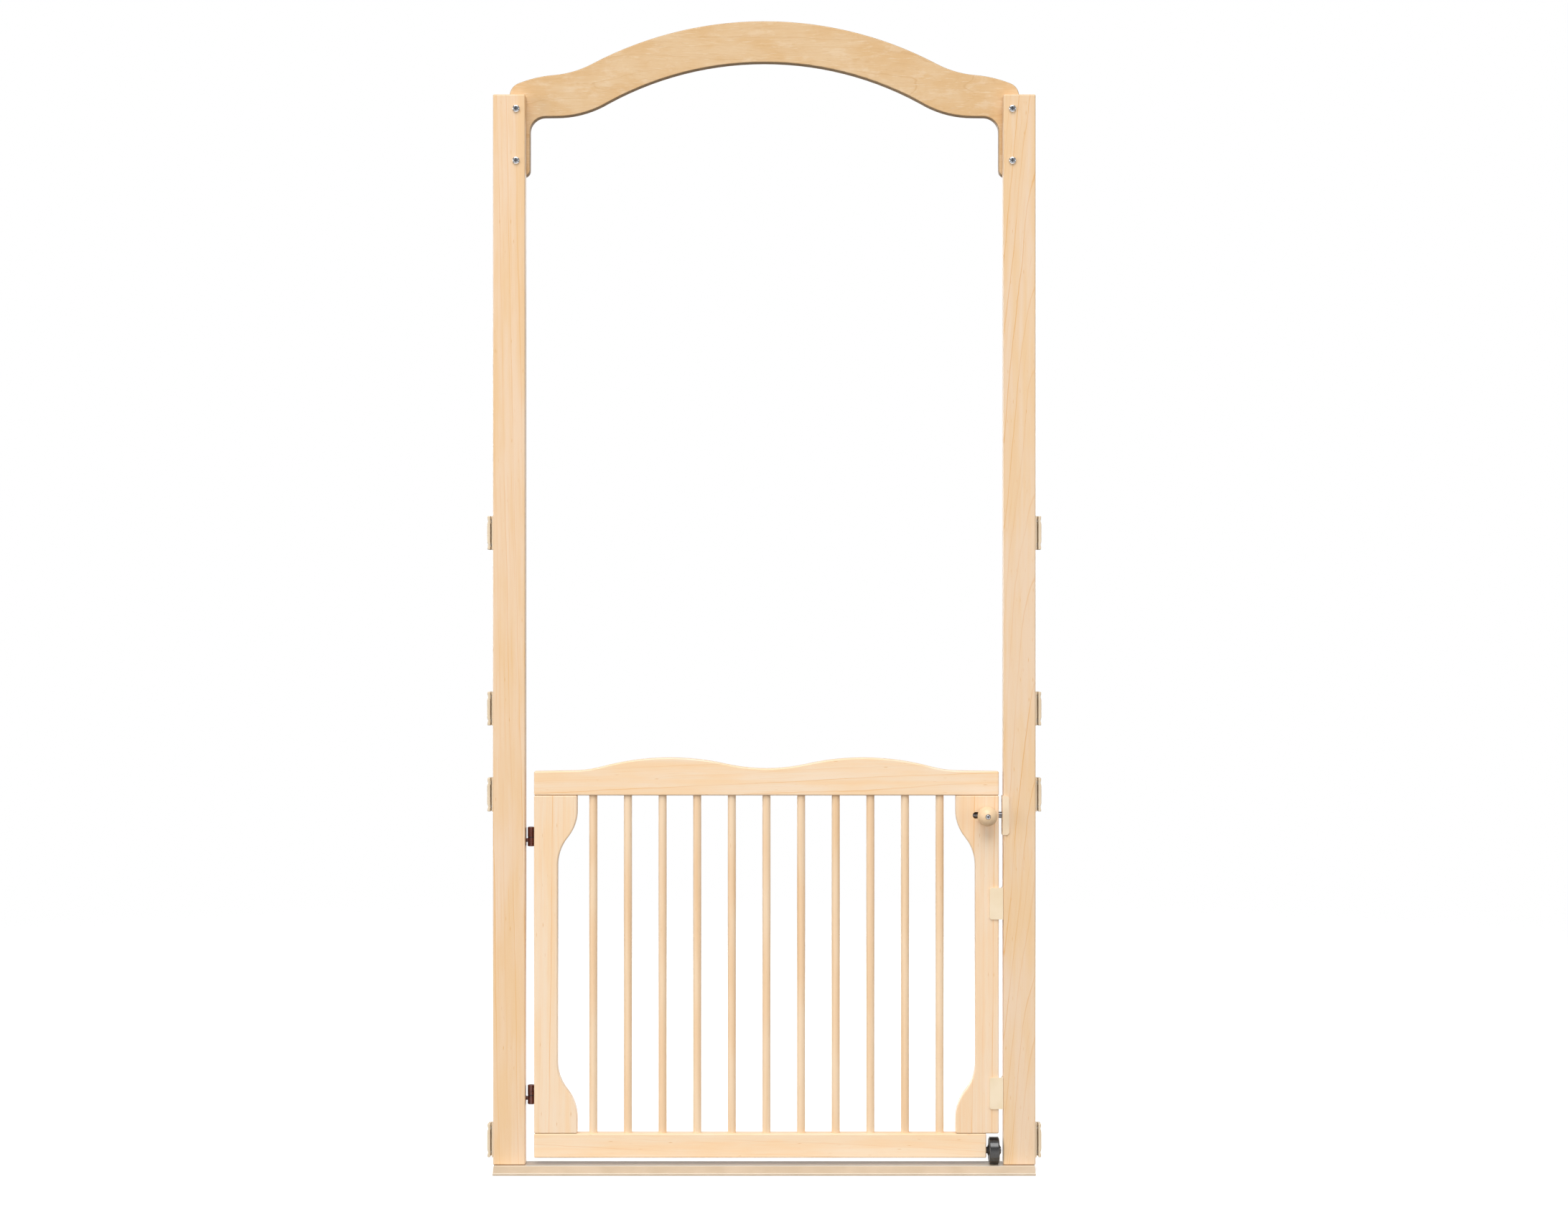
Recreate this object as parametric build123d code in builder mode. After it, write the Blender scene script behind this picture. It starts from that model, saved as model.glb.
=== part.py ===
from build123d import *
import os
from math import cos, radians, sin

os.makedirs("parts", exist_ok=True)

# Walk-through safety gate: two posts on a threshold ramp, joined by an arched header, with a
# child-height gate hung between them. Millimetres. X runs to the right, Y runs away from the
# person who faces the gate, and Z runs up. The origin is the centre of the threshold's underside.

# ------------------------------------------------------------------ driving dimensions
OUTER_WIDTH = 927.0          # over the outer faces of the posts
POST_WIDTH = 55.0
POST_DEPTH = 25.4
POST_LENGTH = 1828.8
WOOD_ROUND = 2.4             # roundover on every wooden edge

THRESHOLD_WIDTH = 923.0
THRESHOLD_HEIGHT = 12.7
THRESHOLD_DEPTH = 76.0
THRESHOLD_FLAT = 42.0        # level top, front to back
THRESHOLD_LIP = 3.2          # height of the thin front and back edges
THRESHOLD_LAND = 5.0         # level strip between lip and bevel
THRESHOLD_SCREW_SPREAD = 18.0

ARCH_THICKNESS = 19.0
ARCH_CROWN_TOP = 1972.0
ARCH_CROWN_BOTTOM = 1901.3
ARCH_LEG_INNER = 402.5
ARCH_LEG_OUTER = 437.5
ARCH_LEG_BOTTOM = 1705.0
ARCH_SCREW_X = 423.9
ARCH_SCREW_HEIGHTS = (1817.0, 1728.3)
INSERT_RADIUS = 4.6          # threaded brass inserts
ARCH_INSERT_LENGTH = 13.0

GATE_LEFT = -393.5
GATE_RIGHT = 400.8
GATE_THICKNESS = 22.0
GATE_RECESS = 2.0            # gate front behind the posts' front
GATE_BOTTOM = 24.5
STILE_BOTTOM = 66.0
STILE_TOP = 643.7
STILE_WIDE = 73.5
STILE_NARROW = 40.0
STILE_CURVE_HEIGHTS = (139.0, 570.8)   # mid-heights of the two S-curves
STILE_CURVE_RADIUS = 75.0
BOTTOM_RAIL_END = 379.4      # the bottom rail stops short to make room for the wheel

SPINDLE_COUNT = 11
SPINDLE_SPACING = 59.3
SPINDLE_RADIUS = 7.0
SPINDLE_TENON = 12.0
DOWEL_RADIUS = 4.0
DOWEL_REACH = 20.0           # how far a corner dowel goes into each piece
FIT = 0.05                   # radial clearance of a pin, dowel or shaft in its hole

HINGE_X = -399.8
HINGE_Y = 6.0
HINGE_BOTTOMS = {"upper": 555.8, "lower": 113.8}
KNUCKLE_RADIUS = 6.0
BARREL_HEIGHT = 33.2
LOWER_KNUCKLE_TOP = 14.7     # heights above the bottom of the barrel
UPPER_KNUCKLE_BOTTOM = 16.5
HINGE_PIN_RADIUS = 2.5
LEAF_HEIGHT = 31.0
LEAF_WIDTH = 13.0
LEAF_THICKNESS = 1.5
LEAF_Y = 3.0
LEAF_PROUD = 0.4             # post leaf stands this far out of its mortise
LEAF_SCREW_SPREAD = 20.0
SET_SCREW_RADIUS = 1.5
SET_SCREW_HEIGHT = 21.6      # above the bottom of the barrel

LATCH_Z = 609.8
ROD_RADIUS = 5.5
ROD_LEFT = 354.5
ROD_TIP = 419.3
ROD_BORE_END = 335.0         # room for the rod when the latch is drawn back
STRIKE_CLEARANCE = 0.5       # radial room for the rod in the strike and the post
KNOB_X = 379.9
KNOB_RADIUS = 17.0
KNOB_STANDOFF = 19.5         # knob centre in front of the gate
SLOT_LEFT = 356.0
SLOT_RIGHT = 386.0
SLOT_HEIGHT = 11.3

PLATE = 2.0                  # sheet thickness of strike and stops
STRIKE_BOTTOM = 576.6
STRIKE_TOP = 643.4
STRIKE_RIGHT = 418.1
STOP_BOTTOMS = {"upper": 432.2, "lower": 108.2}
STOP_HEIGHT = 53.8
STOP_LEFT = 385.0
PLATE_RETURN = 9.0           # how far back strike and stops reach on the post's inner face
PLATE_SCREW_Y = 1.5
STRIKE_SCREW_SPREAD = 50.0
STOP_SCREW_SPREAD = 30.0

WHEEL_X = 392.9
WHEEL_RADIUS = 22.8
WHEEL_GAP = 0.4              # wheel above the threshold
TYRE_WIDTH = 17.4
RIM_RADIUS = 19.8
HUB_WIDTH = 21.0
AXLE_RADIUS = 4.0
AXLE_THREAD_RADIUS = 3.0
AXLE_THREAD_LENGTH = 30.0
AXLE_INSERT_LENGTH = 20.0

CONNECTOR_HEIGHTS = (54.0, 645.0, 792.0, 1092.5)
CONNECTOR_HEIGHT = 57.5
CONNECTOR_DEPTH = 18.0
CONNECTOR_SCREW_SPREAD = 40.8

# ------------------------------------------------------------------ worked-out places
post_outer = OUTER_WIDTH / 2
post_inner = post_outer - POST_WIDTH
post_middle = post_outer - POST_WIDTH / 2
post_front = -POST_DEPTH / 2
post_back = POST_DEPTH / 2
post_bottom = THRESHOLD_HEIGHT
gate_front = post_front + GATE_RECESS
gate_middle_y = gate_front + GATE_THICKNESS / 2
gate_middle_x = (GATE_LEFT + GATE_RIGHT) / 2
wheel_z = THRESHOLD_HEIGHT + WHEEL_GAP + WHEEL_RADIUS
knob_y = gate_front - KNOB_STANDOFF
knob_seat_y = knob_y + KNOB_RADIUS - 1.0
rod_front_y = gate_middle_y - ROD_RADIUS
leaf_screw_offsets = (-LEAF_SCREW_SPREAD / 2, LEAF_SCREW_SPREAD / 2)
connector_screw_offsets = (-CONNECTOR_SCREW_SPREAD / 2, CONNECTOR_SCREW_SPREAD / 2)
strike_screw_heights = (LATCH_Z - STRIKE_SCREW_SPREAD / 2, LATCH_Z + STRIKE_SCREW_SPREAD / 2)
stop_screw_heights = [low + STOP_HEIGHT / 2 + step for low in STOP_BOTTOMS.values()
                      for step in (-STOP_SCREW_SPREAD / 2, STOP_SCREW_SPREAD / 2)]
hinge_screw_heights = [low + BARREL_HEIGHT / 2 + step for low in HINGE_BOTTOMS.values()
                       for step in leaf_screw_offsets]
spindle_places = [gate_middle_x + SPINDLE_SPACING * (number - (SPINDLE_COUNT - 1) / 2)
                  for number in range(SPINDLE_COUNT)]
dowel_places = {
    "hinge": (GATE_LEFT + 18.0, GATE_LEFT + 54.0),
    "latch": (GATE_RIGHT - 36.0, GATE_RIGHT - 62.0),
}
threshold_screw_spots = [(side * post_middle + step, 0.0, 0.0) for side in (-1, 1)
                         for step in (-THRESHOLD_SCREW_SPREAD / 2, THRESHOLD_SCREW_SPREAD / 2)]
arch_screw_spots = [(side * ARCH_SCREW_X, post_front, z) for side in (-1, 1) for z in ARCH_SCREW_HEIGHTS]
arch_insert_spots = [(x, post_back, z) for x, _, z in arch_screw_spots]
strike_screw_spots = [(post_inner - PLATE, PLATE_SCREW_Y, z) for z in strike_screw_heights]
stop_screw_spots = [(post_inner - PLATE, PLATE_SCREW_Y, z) for z in stop_screw_heights]

LEFT, RIGHT = (-1, 0, 0), (1, 0, 0)
FRONT, BACK = (0, -1, 0), (0, 1, 0)
DOWN, UP = (0, 0, -1), (0, 0, 1)
ON_FACE = (Align.CENTER, Align.CENTER, Align.MIN)


# ------------------------------------------------------------------ helpers
def bore(spots, direction, radius, depth):
    """Cuts a round hole from each spot, the given way, in the part being built."""
    for spot in spots:
        with Locations(Plane(origin=spot, z_dir=direction).location):
            Cylinder(radius, depth, align=ON_FACE, mode=Mode.SUBTRACT)


def block(x_span, y_span, z_span, mode=Mode.ADD):
    """Adds or cuts a box given by its limits along X, Y and Z, in the part being built."""
    middle = [(low + high) / 2 for low, high in (x_span, y_span, z_span)]
    with Locations(tuple(middle)):
        Box(x_span[1] - x_span[0], y_span[1] - y_span[0], z_span[1] - z_span[0], mode=mode)


def places(spots, direction):
    """Locations at the spots whose own Z axis points the given way."""
    return [Plane(origin=spot, z_dir=direction).location for spot in spots]


def pan_screw(head_radius, head_height, shank_radius, length, cross):
    """A pan-head screw: head above the XY plane, shank below it, with a cross recess."""
    with BuildPart() as screw:
        Cylinder(head_radius, head_height, align=ON_FACE)
        fillet(screw.faces().sort_by(Axis.Z)[-1].edges(), head_height * 0.72)
        with Locations((0, 0, -length)):
            Cylinder(shank_radius, length, align=ON_FACE)
        chamfer(screw.faces().sort_by(Axis.Z)[0].edges(), shank_radius * 0.4)
        with Locations((0, 0, head_height)):
            Box(cross, cross * 0.26, head_height, mode=Mode.SUBTRACT)
            Box(cross * 0.26, cross, head_height, mode=Mode.SUBTRACT)
    return screw.part


def flat_screw(head_radius, shank_radius, length, cross):
    """A countersunk screw: its flat head is just under the XY plane, its shank runs down."""
    head_depth = head_radius - shank_radius
    with BuildPart() as screw:
        with BuildSketch(Plane.XZ):
            with BuildLine():
                Polyline((0, -0.1), (head_radius, -0.1), (head_radius, -0.3),
                         (shank_radius, -0.3 - head_depth), (shank_radius, -length),
                         (0, -length - shank_radius), (0, -0.1))
            make_face()
        revolve(axis=Axis.Z)
        with Locations((0, 0, -0.1)):
            Box(cross, cross * 0.24, 1.0, mode=Mode.SUBTRACT)
            Box(cross * 0.24, cross, 1.0, mode=Mode.SUBTRACT)
    return screw.part


def screw_holes(spots, direction, head_radius, shank_radius, length):
    """Cuts seats for countersunk screws, driven the given way, in the part being built."""
    back = tuple(-part for part in direction)
    for place in places(spots, back):
        with Locations(place):
            CounterSinkHole(shank_radius + FIT, head_radius + FIT + 0.3, length + 4 * FIT, 90)


def pilot_holes(spots, direction, radius, length):
    """Cuts blind pilot holes with a drill point, in the part being built."""
    back = tuple(-part for part in direction)
    with Locations(*places(spots, back)):
        with Locations((0, 0, -length)):
            Cylinder(radius + FIT, length, align=ON_FACE, mode=Mode.SUBTRACT)
            Cone(0.01, radius + FIT, radius + 2 * FIT, align=(Align.CENTER, Align.CENTER, Align.MAX),
                 mode=Mode.SUBTRACT)


# ------------------------------------------------------------------ screw sizes
ARCH_SCREW = {"head": 6.35, "height": 3.6, "shank": 3.0, "length": 37.0}
PLATE_SCREW = {"head": 3.6, "shank": 2.0, "length": 18.0}
LEAF_SCREW = {"head": 3.0, "shank": 1.5, "length": 14.0}
CONNECTOR_SCREW = {"head": 3.7, "height": 1.8, "shank": 2.0, "length": 16.0}
THRESHOLD_SCREW = {"head": 5.2, "shank": 2.6, "length": 45.0}

# ------------------------------------------------------------------ threshold
with BuildPart() as threshold_ramp:
    half_depth = THRESHOLD_DEPTH / 2
    land_end = half_depth - THRESHOLD_LAND
    with BuildSketch(Plane.YZ.offset(-THRESHOLD_WIDTH / 2)):
        with BuildLine():
            Polyline((0, 0), (half_depth, 0), (half_depth, THRESHOLD_LIP), (land_end, THRESHOLD_LIP),
                     (THRESHOLD_FLAT / 2, THRESHOLD_HEIGHT), (0, THRESHOLD_HEIGHT))
            mirror(about=Plane.YZ)
        make_face()
    extrude(amount=THRESHOLD_WIDTH)
    long_edges = threshold_ramp.edges().filter_by(Axis.X)
    fillet(long_edges.filter_by(lambda edge: edge.center().Z > THRESHOLD_LIP + 1), 1.2)
    fillet(threshold_ramp.edges().filter_by(Axis.X).filter_by(
        lambda edge: abs(edge.center().Y) > half_depth - 1 and edge.center().Z > 1), 0.8)
    screw_holes(threshold_screw_spots, UP, THRESHOLD_SCREW["head"], THRESHOLD_SCREW["shank"],
                THRESHOLD_HEIGHT + 1)
threshold_ramp.part.label = "threshold_ramp"
export_step(threshold_ramp.part, "parts/threshold_ramp.step")

with BuildPart() as threshold_screws:
    with Locations(*places(threshold_screw_spots, DOWN)):
        add(flat_screw(THRESHOLD_SCREW["head"], THRESHOLD_SCREW["shank"], THRESHOLD_SCREW["length"], 5.0))
threshold_screws.part.label = "threshold_screws"
export_step(threshold_screws.part, "parts/threshold_screws.step")


# ------------------------------------------------------------------ posts
def post_blank(side):
    """A post on the given side (-1 left, 1 right), with the holes that both posts have."""
    into_post = (-side, 0, 0)
    with BuildPart() as blank:
        with Locations((side * post_middle, 0, post_bottom)):
            Box(POST_WIDTH, POST_DEPTH, POST_LENGTH, align=ON_FACE)
        fillet(blank.edges(), WOOD_ROUND)
        bore([spot for spot in arch_screw_spots if spot[0] * side > 0], BACK,
             ARCH_SCREW["shank"] + 0.2, POST_DEPTH)
        pilot_holes([(x, y, post_bottom) for x, y, _ in threshold_screw_spots if x * side > 0], UP,
                    THRESHOLD_SCREW["shank"], THRESHOLD_SCREW["length"] - post_bottom + 1)
        pilot_holes([(side * post_outer, 0, middle + step) for middle in CONNECTOR_HEIGHTS
                     for step in connector_screw_offsets], into_post,
                    CONNECTOR_SCREW["shank"], CONNECTOR_SCREW["length"])
    return blank.part


with BuildPart() as left_post:
    add(post_blank(-1))
    for low in HINGE_BOTTOMS.values():
        leaf_middle = low + BARREL_HEIGHT / 2
        block((-post_inner - LEAF_THICKNESS + LEAF_PROUD, -post_inner + 1),
              (LEAF_Y - LEAF_WIDTH / 2 - FIT, LEAF_Y + LEAF_WIDTH / 2 + FIT),
              (leaf_middle - LEAF_HEIGHT / 2 - FIT, leaf_middle + LEAF_HEIGHT / 2 + FIT), Mode.SUBTRACT)
    screw_holes([(-post_inner + LEAF_PROUD, LEAF_Y, z) for z in hinge_screw_heights], LEFT,
                LEAF_SCREW["head"], LEAF_SCREW["shank"], LEAF_SCREW["length"] + LEAF_SCREW["shank"])
left_post.part.label = "left_post"
export_step(left_post.part, "parts/left_post.step")

with BuildPart() as right_post:
    add(post_blank(1))
    bore([(post_inner - 1, gate_middle_y, LATCH_Z)], RIGHT, ROD_RADIUS + STRIKE_CLEARANCE,
         ROD_TIP - post_inner + 3)
    screw_holes(strike_screw_spots + stop_screw_spots, RIGHT, PLATE_SCREW["head"], PLATE_SCREW["shank"],
                PLATE_SCREW["length"] + PLATE_SCREW["shank"])
right_post.part.label = "right_post"
export_step(right_post.part, "parts/right_post.step")

# ------------------------------------------------------------------ arched header
with BuildPart() as arch_header:
    with BuildSketch(Plane.XZ.offset(-post_back)):
        with BuildLine():
            # half of the top edge: crown, hollow, shoulder and rounded end, each tangent to the last
            crown = RadiusArc((0, ARCH_CROWN_TOP), (296.0, 1898.8), 633.0)
            hollow = TangentArc(crown @ 1, (362.0, 1879.6), tangent=crown % 1)
            shoulder = TangentArc(hollow @ 1, (423.0, 1865.2), tangent=hollow % 1)
            end = TangentArc(shoulder @ 1, (ARCH_LEG_OUTER, 1843.4), tangent=shoulder % 1)
            # the leg behind the post, with both bottom corners rounded
            outer_foot = (ARCH_LEG_OUTER, ARCH_LEG_BOTTOM + 12)
            inner_foot = (ARCH_LEG_INNER, ARCH_LEG_BOTTOM + 12)
            Line(end @ 1, outer_foot)
            outer_corner = TangentArc(outer_foot, (ARCH_LEG_OUTER - 12, ARCH_LEG_BOTTOM), tangent=(0, -1))
            Line(outer_corner @ 1, (ARCH_LEG_INNER + 12, ARCH_LEG_BOTTOM))
            TangentArc((ARCH_LEG_INNER + 12, ARCH_LEG_BOTTOM), inner_foot, tangent=(-1, 0))
            # the opening's edge: inner corner, flat shoulder, S-curve and the underside of the crown
            Line(inner_foot, (ARCH_LEG_INNER, 1782.0))
            inner_corner = TangentArc((ARCH_LEG_INNER, 1782.0), (376.5, 1808.0), tangent=(0, 1))
            flat = Line(inner_corner @ 1, (357.5, 1808.2))
            rise = TangentArc(flat @ 1, (268.0, 1833.0), tangent=(-1, 0))
            RadiusArc(rise @ 1, (0, ARCH_CROWN_BOTTOM), -557.0)
            mirror(about=Plane.YZ)
        make_face()
    extrude(amount=-ARCH_THICKNESS)
    outline_faces = arch_header.faces().filter_by(Axis.Y)
    fillet(outline_faces.edges(), 1.8)
    bore(arch_insert_spots, BACK, INSERT_RADIUS + FIT, ARCH_INSERT_LENGTH + FIT)
    bore(arch_insert_spots, BACK, ARCH_SCREW["shank"] + FIT, ARCH_THICKNESS - 4)
arch_header.part.label = "arch_header"
export_step(arch_header.part, "parts/arch_header.step")

with BuildPart() as arch_screws:
    with Locations(*places(arch_screw_spots, FRONT)):
        add(pan_screw(ARCH_SCREW["head"], ARCH_SCREW["height"], ARCH_SCREW["shank"],
                      ARCH_SCREW["length"], 6.4))
arch_screws.part.label = "arch_screws"
export_step(arch_screws.part, "parts/arch_screws.step")

with BuildPart() as arch_inserts:
    with Locations(*places(arch_insert_spots, BACK)):
        Cylinder(INSERT_RADIUS, ARCH_INSERT_LENGTH, align=ON_FACE)
        Cylinder(ARCH_SCREW["shank"] + FIT, ARCH_INSERT_LENGTH, align=ON_FACE, mode=Mode.SUBTRACT)
arch_inserts.part.label = "arch_inserts"
export_step(arch_inserts.part, "parts/arch_inserts.step")


# ------------------------------------------------------------------ panel connectors
def make_connector(label, side, middle):
    """A channel that a neighbouring panel hooks into: base on the post, web, scalloped flange."""
    half = CONNECTOR_HEIGHT / 2
    half_depth = CONNECTOR_DEPTH / 2
    base, flange = 2.2, 5.2
    with BuildPart() as connector:
        # flange outline: a nub at each end, a scallop inside it and a long low bulge between
        with BuildSketch(Plane.XZ.offset(half_depth)):
            with BuildLine():
                nub = Line((flange, half), (8.3, half))
                corner = TangentArc(nub @ 1, (9.9, half - 1.6), tangent=(1, 0))
                scallop = Spline(corner @ 1, (9.7, half - 4.8), (8.9, half - 8.4), (9.8, half - 12.0),
                                 (10.3, half - 16.0), tangents=((0, -1), (0, -1)))
                Line(scallop @ 1, (10.3, 0))
                mirror(about=Plane.XZ)
                Line((flange, half), (flange, -half))
            make_face()
        extrude(amount=-CONNECTOR_DEPTH)
        front_face = connector.faces().sort_by(Axis.Y)[0]
        fillet(front_face.edges().filter_by(lambda edge: edge.center().X > flange + 0.1), 1.2)
        block((0, base), (-half_depth, half_depth), (-half, half))
        block((0, flange + 2), (half_depth - base, half_depth), (-half, half))
        bore([(flange - 1, 0, step) for step in connector_screw_offsets], RIGHT, 4.4, 8.0)
        bore([(-1, 0, step) for step in connector_screw_offsets], RIGHT, CONNECTOR_SCREW["shank"] + FIT, 5.0)
    handed = connector.part if side > 0 else mirror(connector.part, about=Plane.YZ)
    with BuildPart() as piece:
        with Locations((side * post_outer, 0, middle)):
            add(handed)
    piece.part.label = label
    export_step(piece.part, f"parts/{label}.step")


for side_name, side in (("left", -1), ("right", 1)):
    for number, middle in enumerate(CONNECTOR_HEIGHTS, start=1):
        make_connector(f"{side_name}_connector_{number}", side, middle)

with BuildPart() as connector_screws:
    for side in (-1, 1):
        spots = [(side * (post_outer + 2.2), 0, middle + step) for middle in CONNECTOR_HEIGHTS
                 for step in connector_screw_offsets]
        with Locations(*places(spots, (side, 0, 0))):
            add(pan_screw(CONNECTOR_SCREW["head"], CONNECTOR_SCREW["height"], CONNECTOR_SCREW["shank"],
                          CONNECTOR_SCREW["length"], 4.2))
connector_screws.part.label = "connector_screws"
export_step(connector_screws.part, "parts/connector_screws.step")

# ------------------------------------------------------------------ latch strike and gate stops
with BuildPart() as latch_strike:
    strike_front = post_front - PLATE
    block((post_inner - PLATE, STRIKE_RIGHT), (strike_front, post_front), (STRIKE_BOTTOM, STRIKE_TOP))
    block((post_inner - PLATE, post_inner), (strike_front, PLATE_RETURN), (STRIKE_BOTTOM, STRIKE_TOP))
    flange_corners = latch_strike.edges().filter_by(Axis.Y).filter_by(
        lambda edge: edge.center().X > STRIKE_RIGHT - 0.1)
    fillet(flange_corners, 5.0)
    return_corners = latch_strike.edges().filter_by(Axis.X).filter_by(
        lambda edge: edge.center().Y > PLATE_RETURN - 0.1)
    fillet(return_corners, 4.0)
    bend = latch_strike.edges().filter_by(Axis.Z).filter_by(
        lambda edge: edge.center().X < post_inner - PLATE + 0.1 and edge.center().Y < strike_front + 0.1)
    fillet(bend, 1.6)
    bore([(post_inner - PLATE - 1, gate_middle_y, LATCH_Z)], RIGHT, ROD_RADIUS + STRIKE_CLEARANCE, PLATE + 2)
    screw_holes(strike_screw_spots, RIGHT, PLATE_SCREW["head"], PLATE_SCREW["shank"], PLATE + 1)
latch_strike.part.label = "latch_strike"
export_step(latch_strike.part, "parts/latch_strike.step")


def make_stop(label, low):
    """An angle on the post's inner face whose front flange the shut gate rests against."""
    high = low + STOP_HEIGHT
    flange_back = gate_front - 0.3
    flange_front = flange_back - PLATE
    with BuildPart() as stop:
        block((STOP_LEFT, post_inner), (flange_front, flange_back), (low, high))
        block((post_inner - PLATE, post_inner), (flange_front, PLATE_RETURN), (low, high))
        fillet(stop.edges().filter_by(Axis.Y).filter_by(
            lambda edge: edge.center().X < STOP_LEFT + 0.1), 4.0)
        fillet(stop.edges().filter_by(Axis.X).filter_by(
            lambda edge: edge.center().Y > PLATE_RETURN - 0.1), 4.0)
        fillet(stop.edges().filter_by(Axis.Z).filter_by(
            lambda edge: edge.center().X > post_inner - 0.1 and edge.center().Y < flange_front + 0.1), 1.6)
        screw_holes([spot for spot in stop_screw_spots if low < spot[2] < high], RIGHT,
                    PLATE_SCREW["head"], PLATE_SCREW["shank"], PLATE + 1)
    stop.part.label = label
    export_step(stop.part, f"parts/{label}.step")


for level, low in STOP_BOTTOMS.items():
    make_stop(f"{level}_gate_stop", low)


def plate_screws(spots, direction, size, cross):
    """Countersunk screws at the spots, with their heads facing the given way."""
    with BuildPart() as group:
        with Locations(*places(spots, direction)):
            add(flat_screw(size["head"], size["shank"], size["length"], cross))
    return group.part


with BuildPart() as strike_screws:
    add(plate_screws(strike_screw_spots, LEFT, PLATE_SCREW, 3.6))
strike_screws.part.label = "strike_screws"
export_step(strike_screws.part, "parts/strike_screws.step")

with BuildPart() as stop_screws:
    add(plate_screws(stop_screw_spots, LEFT, PLATE_SCREW, 3.6))
stop_screws.part.label = "stop_screws"
export_step(stop_screws.part, "parts/stop_screws.step")


# ------------------------------------------------------------------ hinges
# the set screw goes in from the front, turned a little towards the gate
set_screw_angle = radians(23.0)
set_screw_direction = (-sin(set_screw_angle), cos(set_screw_angle), 0)


def set_screw_point(low, distance):
    """A point on the set screw's axis, the given distance out from the hinge axis."""
    away_x, away_y, _ = set_screw_direction
    return (HINGE_X - distance * away_x, HINGE_Y - distance * away_y, low + SET_SCREW_HEIGHT)


def make_post_leaf(label, low):
    """The post's half of a hinge: mortised plate, narrow neck and the lower knuckle."""
    middle = low + BARREL_HEIGHT / 2
    plate_front = -post_inner + LEAF_PROUD
    with BuildPart() as leaf:
        with Locations((HINGE_X, HINGE_Y, low)):
            Cylinder(KNUCKLE_RADIUS, LOWER_KNUCKLE_TOP, align=ON_FACE)
        fillet(leaf.edges().filter_by(GeomType.CIRCLE).sort_by(Axis.Z)[0], 1.2)
        block((plate_front - 0.5, HINGE_X - 3), (HINGE_Y - 3.2, HINGE_Y + 3.2), (low + 7, low + 13.5))
        block((plate_front - LEAF_THICKNESS, plate_front),
              (LEAF_Y - LEAF_WIDTH / 2, LEAF_Y + LEAF_WIDTH / 2),
              (middle - LEAF_HEIGHT / 2, middle + LEAF_HEIGHT / 2))
        bore([(HINGE_X, HINGE_Y, low + 1.5)], UP, HINGE_PIN_RADIUS + FIT, LOWER_KNUCKLE_TOP)
        screw_holes([(plate_front, LEAF_Y, middle + step) for step in leaf_screw_offsets], LEFT,
                    LEAF_SCREW["head"], LEAF_SCREW["shank"], LEAF_THICKNESS + 1)
    leaf.part.label = label
    export_step(leaf.part, f"parts/{label}.step")


def make_gate_leaf(label, low):
    """The gate's half of a hinge: upper knuckle, short web and a plate let into the stile."""
    middle = low + BARREL_HEIGHT / 2
    top = low + BARREL_HEIGHT
    knuckle_bottom = low + UPPER_KNUCKLE_BOTTOM
    with BuildPart() as leaf:
        with Locations((HINGE_X, HINGE_Y, knuckle_bottom)):
            Cylinder(KNUCKLE_RADIUS, BARREL_HEIGHT - UPPER_KNUCKLE_BOTTOM, align=ON_FACE)
        fillet(leaf.edges().filter_by(GeomType.CIRCLE).sort_by(Axis.Z)[-1], 1.2)
        block((HINGE_X + 4, GATE_LEFT + 0.5), (HINGE_Y - 3, HINGE_Y + 3), (knuckle_bottom + 1, top - 2))
        block((GATE_LEFT, GATE_LEFT + LEAF_THICKNESS), (LEAF_Y - LEAF_WIDTH / 2, LEAF_Y + LEAF_WIDTH / 2),
              (middle - LEAF_HEIGHT / 2, middle + LEAF_HEIGHT / 2))
        bore([(HINGE_X, HINGE_Y, knuckle_bottom - 1)], UP, HINGE_PIN_RADIUS + FIT,
             BARREL_HEIGHT - UPPER_KNUCKLE_BOTTOM - 0.5)
        bore([set_screw_point(low, KNUCKLE_RADIUS + 0.5)], set_screw_direction, SET_SCREW_RADIUS + FIT,
             KNUCKLE_RADIUS)
        screw_holes([(GATE_LEFT, LEAF_Y, middle + step) for step in leaf_screw_offsets], RIGHT,
                    LEAF_SCREW["head"], LEAF_SCREW["shank"], LEAF_THICKNESS + 1)
    leaf.part.label = label
    export_step(leaf.part, f"parts/{label}.step")


def make_hinge_pin(label, low):
    """The pin that both knuckles turn on, held in the upper one by the set screw."""
    with BuildPart() as pin:
        with Locations((HINGE_X, HINGE_Y, low + 1.6)):
            Cylinder(HINGE_PIN_RADIUS, BARREL_HEIGHT - 3.4, align=ON_FACE)
        chamfer(pin.edges().filter_by(GeomType.CIRCLE), 0.4)
    pin.part.label = label
    export_step(pin.part, f"parts/{label}.step")


def make_hinge_washer(label, low):
    """The bearing washer between the two knuckles."""
    with BuildPart() as washer:
        with Locations((HINGE_X, HINGE_Y, low + LOWER_KNUCKLE_TOP)):
            Cylinder(KNUCKLE_RADIUS - 0.5, UPPER_KNUCKLE_BOTTOM - LOWER_KNUCKLE_TOP - 0.05, align=ON_FACE)
            Cylinder(HINGE_PIN_RADIUS + 0.08, BARREL_HEIGHT, mode=Mode.SUBTRACT)
    washer.part.label = label
    export_step(washer.part, f"parts/{label}.step")


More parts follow.
